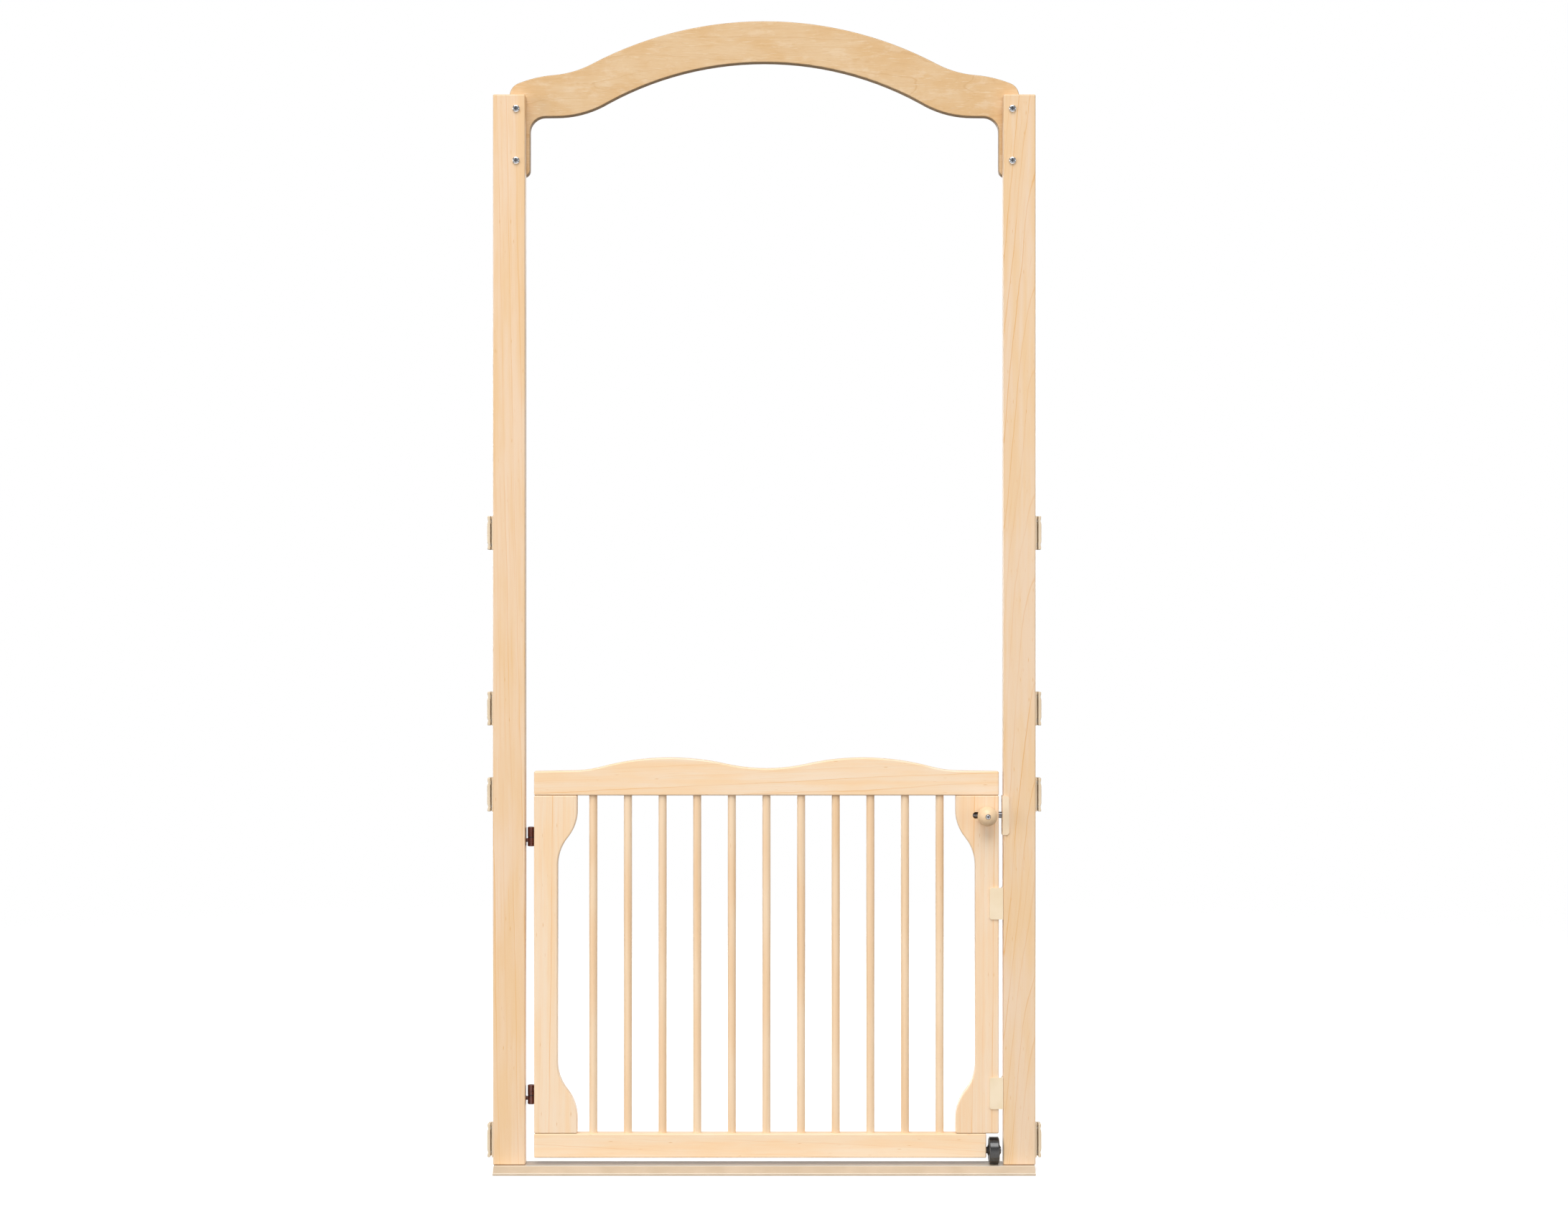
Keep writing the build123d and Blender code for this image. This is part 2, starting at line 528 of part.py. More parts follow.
for level, low in HINGE_BOTTOMS.items():
    make_post_leaf(f"{level}_hinge_post_leaf", low)
    make_gate_leaf(f"{level}_hinge_gate_leaf", low)
    make_hinge_pin(f"{level}_hinge_pin", low)
    make_hinge_washer(f"{level}_hinge_washer", low)

with BuildPart() as post_leaf_screws:
    add(plate_screws([(-post_inner + LEAF_PROUD, LEAF_Y, z) for z in hinge_screw_heights], RIGHT,
                     LEAF_SCREW, 3.0))
post_leaf_screws.part.label = "post_leaf_screws"
export_step(post_leaf_screws.part, "parts/post_leaf_screws.step")

with BuildPart() as gate_leaf_screws:
    add(plate_screws([(GATE_LEFT, LEAF_Y, z) for z in hinge_screw_heights], LEFT, LEAF_SCREW, 3.0))
gate_leaf_screws.part.label = "gate_leaf_screws"
export_step(gate_leaf_screws.part, "parts/gate_leaf_screws.step")

with BuildPart() as hinge_set_screws:
    for low in HINGE_BOTTOMS.values():
        outer_end = set_screw_point(low, KNUCKLE_RADIUS - 0.3)
        length = KNUCKLE_RADIUS - 0.3 - HINGE_PIN_RADIUS - FIT
        with Locations(Plane(origin=outer_end, z_dir=set_screw_direction).location):
            Cylinder(SET_SCREW_RADIUS, length, align=ON_FACE)
            Cylinder(0.8, 1.4, align=ON_FACE, mode=Mode.SUBTRACT)
hinge_set_screws.part.label = "hinge_set_screws"
export_step(hinge_set_screws.part, "parts/hinge_set_screws.step")

# ------------------------------------------------------------------ gate frame
with BuildPart() as top_rail_blank:
    half_length = (GATE_RIGHT - GATE_LEFT) / 2
    with BuildSketch(Plane.XZ.offset(-gate_front)):
        with BuildLine():
            # half of the two-humped top edge, each arc tangent to the last
            dip = TangentArc((0, 689.6), (69.3, 697.3), tangent=(1, 0))
            hump = TangentArc(dip @ 1, (165.0, 708.0), tangent=dip % 1)
            fall = TangentArc(hump @ 1, (282.0, 692.5), tangent=(1, 0))
            run_out = TangentArc(fall @ 1, (332.7, 685.8), tangent=fall % 1)
            Polyline(run_out @ 1, (half_length, 684.8), (half_length, STILE_TOP), (0, STILE_TOP))
            mirror(about=Plane.YZ)
        make_face()
    extrude(amount=-GATE_THICKNESS)
    fillet(top_rail_blank.edges(), WOOD_ROUND)

with BuildPart() as gate_top_rail:
    with Locations((gate_middle_x, 0, 0)):
        add(top_rail_blank.part)
    bore([(x, gate_middle_y, STILE_TOP) for x in spindle_places], UP, SPINDLE_RADIUS + FIT,
         SPINDLE_TENON + 4 * FIT)
    bore([(x, gate_middle_y, STILE_TOP) for pair in dowel_places.values() for x in pair], UP,
         DOWEL_RADIUS + FIT, DOWEL_REACH + 4 * FIT)
gate_top_rail.part.label = "gate_top_rail"
export_step(gate_top_rail.part, "parts/gate_top_rail.step")

with BuildPart() as gate_bottom_rail:
    block((GATE_LEFT, BOTTOM_RAIL_END), (gate_front, gate_front + GATE_THICKNESS),
          (GATE_BOTTOM, STILE_BOTTOM))
    fillet(gate_bottom_rail.edges(), WOOD_ROUND)
    bore([(x, gate_middle_y, STILE_BOTTOM) for x in spindle_places], DOWN, SPINDLE_RADIUS + FIT,
         SPINDLE_TENON + 4 * FIT)
    bore([(x, gate_middle_y, STILE_BOTTOM) for pair in dowel_places.values() for x in pair], DOWN,
         DOWEL_RADIUS + FIT, DOWEL_REACH + 4 * FIT)
    bore([(BOTTOM_RAIL_END, gate_middle_y, wheel_z)], LEFT, INSERT_RADIUS + FIT, AXLE_INSERT_LENGTH + FIT)
    bore([(BOTTOM_RAIL_END, gate_middle_y, wheel_z)], LEFT, AXLE_THREAD_RADIUS + FIT, AXLE_THREAD_LENGTH + 1)
gate_bottom_rail.part.label = "gate_bottom_rail"
export_step(gate_bottom_rail.part, "parts/gate_bottom_rail.step")


def stile_blank():
    """A stile with its straight edge on X = 0 and its curved edge on the +X side."""
    shift = STILE_WIDE - STILE_NARROW
    half_shift = shift / 2
    rise = (STILE_CURVE_RADIUS ** 2 - (STILE_CURVE_RADIUS - half_shift) ** 2) ** 0.5
    low_curve, high_curve = STILE_CURVE_HEIGHTS
    middle_x = STILE_NARROW + half_shift
    with BuildPart() as blank:
        with BuildSketch(Plane.XZ.offset(-gate_front)):
            with BuildLine():
                Polyline((STILE_WIDE, low_curve - rise), (STILE_WIDE, STILE_BOTTOM), (0, STILE_BOTTOM),
                         (0, STILE_TOP), (STILE_WIDE, STILE_TOP), (STILE_WIDE, high_curve + rise))
                upper = TangentArc((STILE_WIDE, high_curve + rise), (middle_x, high_curve), tangent=(0, -1))
                upper_end = TangentArc(upper @ 1, (STILE_NARROW, high_curve - rise), tangent=upper % 1)
                Line(upper_end @ 1, (STILE_NARROW, low_curve + rise))
                lower = TangentArc((STILE_NARROW, low_curve + rise), (middle_x, low_curve), tangent=(0, -1))
                TangentArc(lower @ 1, (STILE_WIDE, low_curve - rise), tangent=lower % 1)
            make_face()
        extrude(amount=-GATE_THICKNESS)
        fillet(blank.edges(), WOOD_ROUND)
    return blank.part


def dowel_holes(spots):
    """Cuts the corner dowels' holes in both ends of the stile being built."""
    bore([(x, gate_middle_y, STILE_TOP) for x in spots], DOWN, DOWEL_RADIUS + FIT, DOWEL_REACH + 4 * FIT)
    bore([(x, gate_middle_y, STILE_BOTTOM) for x in spots], UP, DOWEL_RADIUS + FIT, DOWEL_REACH + 4 * FIT)


with BuildPart() as hinge_stile:
    with Locations((GATE_LEFT, 0, 0)):
        add(stile_blank())
    dowel_holes(dowel_places["hinge"])
    for low in HINGE_BOTTOMS.values():
        leaf_middle = low + BARREL_HEIGHT / 2
        block((GATE_LEFT - 1, GATE_LEFT + LEAF_THICKNESS),
              (LEAF_Y - LEAF_WIDTH / 2 - FIT, LEAF_Y + LEAF_WIDTH / 2 + FIT),
              (leaf_middle - LEAF_HEIGHT / 2 - FIT, leaf_middle + LEAF_HEIGHT / 2 + FIT), Mode.SUBTRACT)
    screw_holes([(GATE_LEFT, LEAF_Y, z) for z in hinge_screw_heights], RIGHT,
                LEAF_SCREW["head"], LEAF_SCREW["shank"], LEAF_SCREW["length"] + LEAF_SCREW["shank"])
hinge_stile.part.label = "hinge_stile"
export_step(hinge_stile.part, "parts/hinge_stile.step")

mirrored_stile = mirror(stile_blank(), about=Plane.YZ)
with BuildPart() as latch_stile:
    with Locations((GATE_RIGHT, 0, 0)):
        add(mirrored_stile)
    dowel_holes(dowel_places["latch"])
    # bore for the rod, from the gate's edge, and the slot that the knob's stem slides in
    bore([(GATE_RIGHT + 1, gate_middle_y, LATCH_Z)], LEFT, ROD_RADIUS + FIT, GATE_RIGHT + 1 - ROD_BORE_END)
    with BuildSketch(Plane.XZ.offset(-gate_middle_y)):
        with Locations(((SLOT_LEFT + SLOT_RIGHT) / 2, LATCH_Z)):
            SlotOverall(SLOT_RIGHT - SLOT_LEFT, SLOT_HEIGHT)
    extrude(amount=GATE_THICKNESS, mode=Mode.SUBTRACT)
latch_stile.part.label = "latch_stile"
export_step(latch_stile.part, "parts/latch_stile.step")

for number, place in enumerate(spindle_places, start=1):
    with BuildPart() as spindle:
        with Locations((place, gate_middle_y, STILE_BOTTOM - SPINDLE_TENON)):
            Cylinder(SPINDLE_RADIUS, STILE_TOP - STILE_BOTTOM + 2 * SPINDLE_TENON, align=ON_FACE)
        chamfer(spindle.edges().filter_by(GeomType.CIRCLE), 1.0)
    spindle.part.label = f"spindle_{number:02d}"
    export_step(spindle.part, f"parts/spindle_{number:02d}.step")

with BuildPart() as corner_dowels:
    for height in (STILE_BOTTOM, STILE_TOP):
        with Locations(*[(x, gate_middle_y, height) for pair in dowel_places.values() for x in pair]):
            Cylinder(DOWEL_RADIUS, 2 * DOWEL_REACH)
    chamfer(corner_dowels.edges().filter_by(GeomType.CIRCLE), 0.8)
corner_dowels.part.label = "corner_dowels"
export_step(corner_dowels.part, "parts/corner_dowels.step")

# ------------------------------------------------------------------ latch
with BuildPart() as latch_rod:
    with Locations(Plane(origin=(ROD_LEFT, gate_middle_y, LATCH_Z), z_dir=RIGHT).location):
        Cylinder(ROD_RADIUS, ROD_TIP - ROD_LEFT, align=ON_FACE)
    fillet(latch_rod.edges().filter_by(GeomType.CIRCLE).sort_by(Axis.X)[-1], 1.4)
    chamfer(latch_rod.edges().filter_by(GeomType.CIRCLE).sort_by(Axis.X)[0], 0.6)
    bore([(KNOB_X, rod_front_y - 1, LATCH_Z)], BACK, 2.5 + FIT, 9.6)
latch_rod.part.label = "latch_rod"
export_step(latch_rod.part, "parts/latch_rod.step")

with BuildPart() as latch_knob:
    with Locations((KNOB_X, knob_y, LATCH_Z)):
        Sphere(KNOB_RADIUS)
    block((KNOB_X - 20, KNOB_X + 20), (knob_seat_y, knob_seat_y + 10), (LATCH_Z - 20, LATCH_Z + 20),
          Mode.SUBTRACT)
    screw_seat_y = knob_y - KNOB_RADIUS + 3.2
    bore([(KNOB_X, knob_y - KNOB_RADIUS - 1, LATCH_Z)], BACK, 4.6, 4.2)
    bore([(KNOB_X, screw_seat_y - 1, LATCH_Z)], BACK, 2.5 + FIT, 2 * KNOB_RADIUS)
latch_knob.part.label = "latch_knob"
export_step(latch_knob.part, "parts/latch_knob.step")

with BuildPart() as knob_sleeve:
    sleeve_length = rod_front_y - knob_seat_y
    with Locations(Plane(origin=(KNOB_X, knob_seat_y, LATCH_Z), z_dir=BACK).location):
        Cylinder(4.5, sleeve_length, align=ON_FACE)
        Cylinder(2.5 + FIT, sleeve_length, align=ON_FACE, mode=Mode.SUBTRACT)
knob_sleeve.part.label = "knob_sleeve"
export_step(knob_sleeve.part, "parts/knob_sleeve.step")

with BuildPart() as knob_screw:
    with Locations(Plane(origin=(KNOB_X, screw_seat_y, LATCH_Z), z_dir=FRONT).location):
        add(pan_screw(4.3, 2.4, 2.5, gate_middle_y + 3.0 - screw_seat_y, 4.6))
knob_screw.part.label = "knob_screw"
export_step(knob_screw.part, "parts/knob_screw.step")

# ------------------------------------------------------------------ roller
hub_half = HUB_WIDTH / 2
hub_left = WHEEL_X - hub_half
axle_origin = (0, gate_middle_y, wheel_z)

with BuildPart() as axle_insert:
    with Locations(Plane(origin=(BOTTOM_RAIL_END, gate_middle_y, wheel_z), z_dir=LEFT).location):
        Cylinder(INSERT_RADIUS, AXLE_INSERT_LENGTH, align=ON_FACE)
        Cylinder(AXLE_THREAD_RADIUS + FIT, AXLE_INSERT_LENGTH, align=ON_FACE, mode=Mode.SUBTRACT)
axle_insert.part.label = "axle_insert"
export_step(axle_insert.part, "parts/axle_insert.step")

with BuildPart() as roller_axle:
    # turned shoulder bolt: thread in the rail, shoulder in the wheel, low domed head
    head_face = WHEEL_X + hub_half + 0.1
    thread_end = BOTTOM_RAIL_END - AXLE_THREAD_LENGTH
    with BuildSketch(Plane(origin=axle_origin, x_dir=(1, 0, 0), z_dir=(0, -1, 0))):
        with BuildLine():
            Polyline((thread_end, 0), (thread_end, AXLE_THREAD_RADIUS - 0.6),
                     (thread_end + 0.6, AXLE_THREAD_RADIUS), (BOTTOM_RAIL_END, AXLE_THREAD_RADIUS),
                     (BOTTOM_RAIL_END, AXLE_RADIUS), (head_face, AXLE_RADIUS), (head_face, 6.5),
                     (head_face + 0.8, 6.5), (head_face + 1.6, 5.2), (head_face + 2.0, 3.0),
                     (head_face + 2.0, 0), (thread_end, 0))
        make_face()
    revolve(axis=Axis(axle_origin, (1, 0, 0)))
roller_axle.part.label = "roller_axle"
export_step(roller_axle.part, "parts/roller_axle.step")

with BuildPart() as roller_spacer:
    with BuildSketch(Plane(origin=axle_origin, x_dir=(1, 0, 0), z_dir=(0, -1, 0))):
        with BuildLine():
            Polyline((BOTTOM_RAIL_END, AXLE_RADIUS + FIT), (BOTTOM_RAIL_END, 5.0), (hub_left - 0.1, 6.5),
                     (hub_left - 0.1, AXLE_RADIUS + FIT), (BOTTOM_RAIL_END, AXLE_RADIUS + FIT))
        make_face()
    revolve(axis=Axis(axle_origin, (1, 0, 0)))
roller_spacer.part.label = "roller_spacer"
export_step(roller_spacer.part, "parts/roller_spacer.step")

with BuildPart() as roller_wheel:
    # hub with a boss each side and shallow cone faces out to the rim
    with BuildSketch(Plane(origin=axle_origin, x_dir=(1, 0, 0), z_dir=(0, -1, 0))):
        with BuildLine():
            Polyline((WHEEL_X, AXLE_RADIUS + FIT), (WHEEL_X + hub_half, AXLE_RADIUS + FIT),
                     (WHEEL_X + hub_half, 8.4), (WHEEL_X + hub_half - 0.9, 9.0), (WHEEL_X + 9.4, 9.4),
                     (WHEEL_X + 8.4, 17.6), (WHEEL_X + 8.0, RIM_RADIUS), (WHEEL_X, RIM_RADIUS))
            mirror(about=Plane.YZ.offset(WHEEL_X))
        make_face()
    revolve(axis=Axis(axle_origin, (1, 0, 0)))
roller_wheel.part.label = "roller_wheel"
export_step(roller_wheel.part, "parts/roller_wheel.step")

with BuildPart() as roller_tyre:
    with Locations(Plane(origin=(WHEEL_X, gate_middle_y, wheel_z), z_dir=RIGHT).location):
        Cylinder(WHEEL_RADIUS, TYRE_WIDTH)
        fillet(roller_tyre.edges().filter_by(GeomType.CIRCLE), 2.2)
        Cylinder(RIM_RADIUS, TYRE_WIDTH, mode=Mode.SUBTRACT)
roller_tyre.part.label = "roller_tyre"
export_step(roller_tyre.part, "parts/roller_tyre.step")
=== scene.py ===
import math

import bmesh
import bpy
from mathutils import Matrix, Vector


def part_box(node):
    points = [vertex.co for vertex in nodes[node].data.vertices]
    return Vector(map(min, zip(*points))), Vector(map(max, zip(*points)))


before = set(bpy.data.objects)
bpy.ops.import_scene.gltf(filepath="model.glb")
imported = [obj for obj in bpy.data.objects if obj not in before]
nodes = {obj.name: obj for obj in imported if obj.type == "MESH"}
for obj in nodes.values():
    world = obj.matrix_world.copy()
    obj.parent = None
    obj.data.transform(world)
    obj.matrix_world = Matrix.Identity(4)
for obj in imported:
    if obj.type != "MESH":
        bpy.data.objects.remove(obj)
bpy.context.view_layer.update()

# Metres, in the frame of the CAD model: X to the right, Y away from the camera, Z up.
PLY_COUNT = 13               # layers in the arched header
ARCH_SCREW_HEAD = 0.0036     # heights of the pan heads
KNOB_SCREW_HEAD = 0.0024
TOP_LIGHT_FROM = (0.013, 0.020)   # distances from the gate's plane where the painted highlight on the level strips begins

# growth lines in wood; the places and widths are shares of one ring
RIPPLE = (0.0, 0.0032, 0.0032)       # how far fine waves move a line, across and into the board
LINE_START, LINE_CREST = 0.955, 0.965
LINE_WIDTH = 0.105
WEAK_LINE_WIDTH = 0.24
WEAK_LINES = 2.37                    # weak lines for each strong one
LEAST_CROSSING = 0.25                # how thin a line may be drawn where it lies along a face

# noise scales, a metre, for the marks that tools leave on metal
EVEN = (500.0, 500.0, 500.0)
TURNED_ABOUT_X = (900.0, 60.0, 60.0)
TURNED_ABOUT_Y = (60.0, 900.0, 60.0)

FLOOR_RADIUS = 6.0
FLOOR_DROP = 0.0004          # keeps the floor just under the threshold
FLOOR_FADE = (1.4, 4.2)      # where the floor starts and ends its fade into the backdrop
BACKDROP_RADIUS = 40.0

CAMERA_PLACE = (0.0337, -4.5127, 0.9675)
CAMERA_LENS = 60.5           # millimetres, on a sensor 36 mm wide

# sockets of the colour Mix node, whose inputs of other kinds share their names
COLOUR_A, COLOUR_B, COLOUR_OUT = 6, 7, 2


# ------------------------------------------------------------------ colours
def srgb(red, green, blue):
    """A display colour, 0 to 255 a channel, as the linear colour that a shader takes."""
    linear = []
    for channel in (red, green, blue):
        share = channel / 255
        linear.append(share / 12.92 if share <= 0.04045 else ((share + 0.055) / 1.055) ** 2.4)
    return (*linear, 1.0)


FLECK = srgb(222, 164, 86)
CUT_END = srgb(206, 160, 104)
# painted shade for the undersides of the maple boards
UNDERSIDE_SHADE = srgb(150, 110, 68)
# painted highlight for the threshold's level strips
PAINTED_TOP_LIGHT = srgb(252, 249, 236)
# painted shade for the floors of the screws' cross recesses
RECESS_SHADE = srgb(92, 92, 96)


# ------------------------------------------------------------------ node graphs
class Graph:
    """A node material in the making: each method adds a node and returns its output socket."""

    def __init__(self, name):
        self.material = bpy.data.materials.new(name)
        self.material.use_nodes = True
        self.tree = self.material.node_tree
        self.tree.nodes.clear()
        self.output = self.tree.nodes.new("ShaderNodeOutputMaterial")

    def node(self, kind, inputs=None, **settings):
        made = self.tree.nodes.new(kind)
        for key, value in settings.items():
            setattr(made, key, value)
        for key, value in (inputs or {}).items():
            self.feed(made.inputs[key], value)
        return made

    def feed(self, socket, value):
        if isinstance(value, bpy.types.NodeSocket):
            self.tree.links.new(value, socket)
        else:
            socket.default_value = value

    def calc(self, operation, first, second=0.0):
        return self.node("ShaderNodeMath", {0: first, 1: second}, operation=operation).outputs[0]

    def times(self, first, second):
        return self.calc("MULTIPLY", first, second)

    def plus(self, first, second):
        return self.calc("ADD", first, second)

    def vector(self, operation, first, second=(0.0, 0.0, 0.0)):
        made = self.node("ShaderNodeVectorMath", {0: first, 1: second}, operation=operation)
        return made.outputs["Value" if operation == "LENGTH" else "Vector"]

    def scaled(self, source, scale):
        return self.vector("MULTIPLY", source, scale)

    def stretched(self, source, scale, shift):
        """The point scaled along each axis, so that a noise there stretches, and then shifted."""
        return self.vector("ADD", self.scaled(source, scale), shift)

    def noise(self, source, scale=1.0, detail=2.0, roughness=0.5, output="Fac"):
        made = self.node("ShaderNodeTexNoise", {"Vector": source, "Scale": scale, "Detail": detail,
                                                "Roughness": roughness})
        return made.outputs[output]

    def smooth(self, value, low, high, out_low=0.0, out_high=1.0):
        """Eases from out_low, where the value is at low, to out_high, where it is at high."""
        made = self.node("ShaderNodeMapRange",
                         {"Value": value, "From Min": low, "From Max": high, "To Min": out_low,
                          "To Max": out_high}, interpolation_type="SMOOTHSTEP")
        return made.outputs["Result"]

    def mix(self, share, first, second):
        """A colour: first where the share is 0, second where it is 1."""
        made = self.node("ShaderNodeMix", data_type="RGBA", blend_type="MIX")
        self.feed(made.inputs["Factor"], share)
        self.feed(made.inputs[COLOUR_A], first)
        self.feed(made.inputs[COLOUR_B], second)
        return made.outputs[COLOUR_OUT]

    def split(self, source):
        made = self.node("ShaderNodeSeparateXYZ", {0: source})
        return made.outputs[0], made.outputs[1], made.outputs[2]

    def join(self, x, y, z):
        return self.node("ShaderNodeCombineXYZ", {0: x, 1: y, 2: z}).outputs[0]

    def place(self):
        """The point on the part, in metres in its own frame, and the surface's direction there."""
        made = self.node("ShaderNodeTexCoord")
        return made.outputs["Object"], made.outputs["Normal"]

    def bump(self, height, distance, strength):
        inputs = {"Height": height, "Distance": distance, "Strength": strength}
        return self.node("ShaderNodeBump", inputs).outputs[0]

    def finish(self, colour, roughness, normal=None, **sockets):
        """Closes the graph with one Principled shader. Extra sockets are named with underscores."""
        inputs = {"Base Color": colour, "Roughness": roughness}
        if normal is not None:
            inputs["Normal"] = normal
        for key, value in sockets.items():
            inputs[key.replace("_", " ")] = value
        shader = self.node("ShaderNodeBsdfPrincipled", inputs)
        self.tree.links.new(shader.outputs[0], self.output.inputs["Surface"])
        return self.material


# ------------------------------------------------------------------ wood
def board_axes(graph, source, along, centre):
    """The point as (along the grain, across the face, into the board), from the board's centre."""
    x, y, z = graph.split(graph.vector("SUBTRACT", source, tuple(centre)))
    return graph.join(z, x, y) if along == "Z" else graph.join(x, z, y)


def growth_lines(graph, place, pith, spacing, slant, wander, seed):
    """Thin late-wood lines, 1 on a line and 0 between, and the bent point that they follow."""
    swing = graph.noise(graph.stretched(place, (1.6, 9.0, 9.0), (seed, seed * 0.7, 3.1)),
                        1.0, 2.0, 0.45, "Color")
    swing = graph.scaled(graph.vector("SUBTRACT", swing, (0.5, 0.5, 0.5)), (0.0, wander, wander))
    ripple = graph.noise(graph.stretched(place, (13.0, 34.0, 34.0), (seed, 1.3, seed)),
                         1.0, 3.0, 0.55, "Color")
    ripple = graph.scaled(graph.vector("SUBTRACT", ripple, (0.5, 0.5, 0.5)), RIPPLE)
    moved = graph.vector("ADD", graph.vector("ADD", place, swing), ripple)
    along, across, deep = graph.split(moved)
    aside = graph.calc("SUBTRACT", across, pith[0])
    below = graph.calc("SUBTRACT", deep, pith[1])
    from_pith = graph.vector("LENGTH", graph.join(0.0, aside, below))
    # where a face runs along a ring, the line is drawn narrower, so that it keeps its width there
    crossing = graph.calc("DIVIDE", graph.calc("ABSOLUTE", aside), from_pith)
    crossing = graph.calc("MAXIMUM", crossing, LEAST_CROSSING)
    rings = graph.plus(from_pith, graph.times(along, slant))
    rings = graph.plus(graph.calc("DIVIDE", rings, spacing), seed)
    line = late_wood(graph, rings, crossing, LINE_WIDTH)
    lot = graph.node("ShaderNodeTexWhiteNoise", {"W": graph.calc("FLOOR", rings)},
                     noise_dimensions="1D").outputs["Value"]
    lot = graph.smooth(lot, 0.0, 0.8, 0.30, 1.0)
    fade = graph.noise(graph.stretched(place, (5.0, 22.0, 22.0), (2.0, seed, seed)), 1.0, 1.0)
    line = graph.times(graph.times(line, lot), graph.smooth(fade, 0.32, 0.56, 0.35, 1.0))
    # closer and weaker lines that come up in patches
    between = late_wood(graph, graph.times(rings, WEAK_LINES), crossing, WEAK_LINE_WIDTH)
    patch = graph.noise(graph.stretched(place, (9.0, 40.0, 40.0), (seed, 7.0, seed)), 1.0, 2.0)
    between = graph.times(between, graph.smooth(patch, 0.48, 0.66, 0.02, 0.36))
    return graph.calc("MAXIMUM", line, between), moved


def late_wood(graph, rings, crossing, width):
    """One thin line in each step of the ring count, with a faint slow rise before it."""
    step = graph.calc("FRACT", rings)
    crest = graph.smooth(step, LINE_CREST, 1.0, 1.0, 0.0)
    start = graph.calc("SUBTRACT", LINE_START, graph.times(crossing, width))
    rise = graph.smooth(step, start, LINE_CREST)
    slow = graph.times(graph.smooth(step, 0.20, 0.95), 0.10)
    return graph.times(graph.plus(graph.times(rise, 0.90), slow), crest)


def fibres(graph, place, seed):
    """Fine streaks along the grain, mostly 0.3 to 1 mm wide and centimetres long."""
    fine = graph.noise(graph.stretched(place, (26.0, 1500.0, 1500.0), (seed, 0.0, seed)),
                       1.0, 3.0, 0.6)
    coarse = graph.noise(graph.stretched(place, (7.0, 240.0, 240.0), (0.0, seed, seed)),
                         1.0, 2.0, 0.5)
    return fine, coarse


def flecks(graph, place, length, width, share, seed):
    """Scattered short marks that lie along the grain, 1 inside a mark."""
    spot = graph.stretched(place, (1 / length, 1 / width, 1 / width), (seed, seed, 0.0))
    cells = graph.node("ShaderNodeTexVoronoi", {"Vector": spot, "Scale": 1.0, "Randomness": 1.0})
    red, green, _ = graph.split(cells.outputs["Color"])
    chosen = graph.calc("GREATER_THAN", red, 1 - share)
    mark = graph.smooth(cells.outputs["Distance"], 0.06, 0.34, 1.0, 0.0)
    return graph.times(graph.times(mark, chosen), graph.smooth(green, 0.0, 1.0, 0.35, 1.0))


def maple(name, node, along, light, dark, line, pith, spacing, slant, wander, lines, seed,
          spots=0.035):
    """Clear-lacquered maple whose grain runs along X or Z of the part.

    The growth rings lie round the pith, given across and into the board from its centre, at the
    given spacing. Slant tips them against the board, wander bends them, lines is how strongly they
    show and spots is the share of the cells that hold a fleck.
    """
    low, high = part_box(node)
    graph = Graph(name)
    source, direction = graph.place()
    place = board_axes(graph, source, along, (low + high) / 2)
    growth, moved = growth_lines(graph, place, pith, spacing, slant, wander, seed)
    fine, coarse = fibres(graph, moved, seed)
    cloud = graph.noise(graph.stretched(moved, (4.5, 26.0, 26.0), (seed, seed, seed)),
                        1.0, 3.0, 0.6)
    band = graph.noise(graph.stretched(moved, (1.6, 130.0, 130.0), (seed, seed, 0.0)),
                       1.0, 2.0, 0.5)
    tone = graph.plus(graph.times(cloud, 0.62), graph.times(band, 0.38))
    colour = graph.mix(graph.smooth(tone, 0.38, 0.63), light, dark)
    colour = graph.mix(graph.times(growth, lines), colour, line)
    colour = graph.mix(graph.smooth(coarse, 0.44, 0.78, 0.0, 0.30), colour, dark)
    colour = graph.mix(graph.smooth(fine, 0.50, 0.85, 0.0, 0.22), colour, line)
    marks = flecks(graph, moved, 0.017, 0.0024, spots, seed)
    colour = graph.mix(graph.times(marks, 0.80), colour, FLECK)
    # the cut ends take up more lacquer and are darker
    x, _, z = graph.split(direction)
    end = graph.calc("POWER", graph.calc("ABSOLUTE", z if along == "Z" else x), 4.0)
    colour = graph.mix(graph.times(end, 0.42), colour, CUT_END)
    # painted shade: the undersides are drawn darker and browner, as if in shadow
    colour = graph.mix(graph.smooth(z, -0.30, -0.95, 0.0, 0.60), colour, UNDERSIDE_SHADE)
    roughness = graph.plus(graph.times(fine, 0.14), 0.33)
    height = graph.plus(graph.times(fine, 0.6), graph.times(growth, -0.5))
    normal = graph.bump(height, 0.00012, 0.55)
    return graph.finish(colour, roughness, normal, Coat_Weight=0.10, Coat_Roughness=0.22)


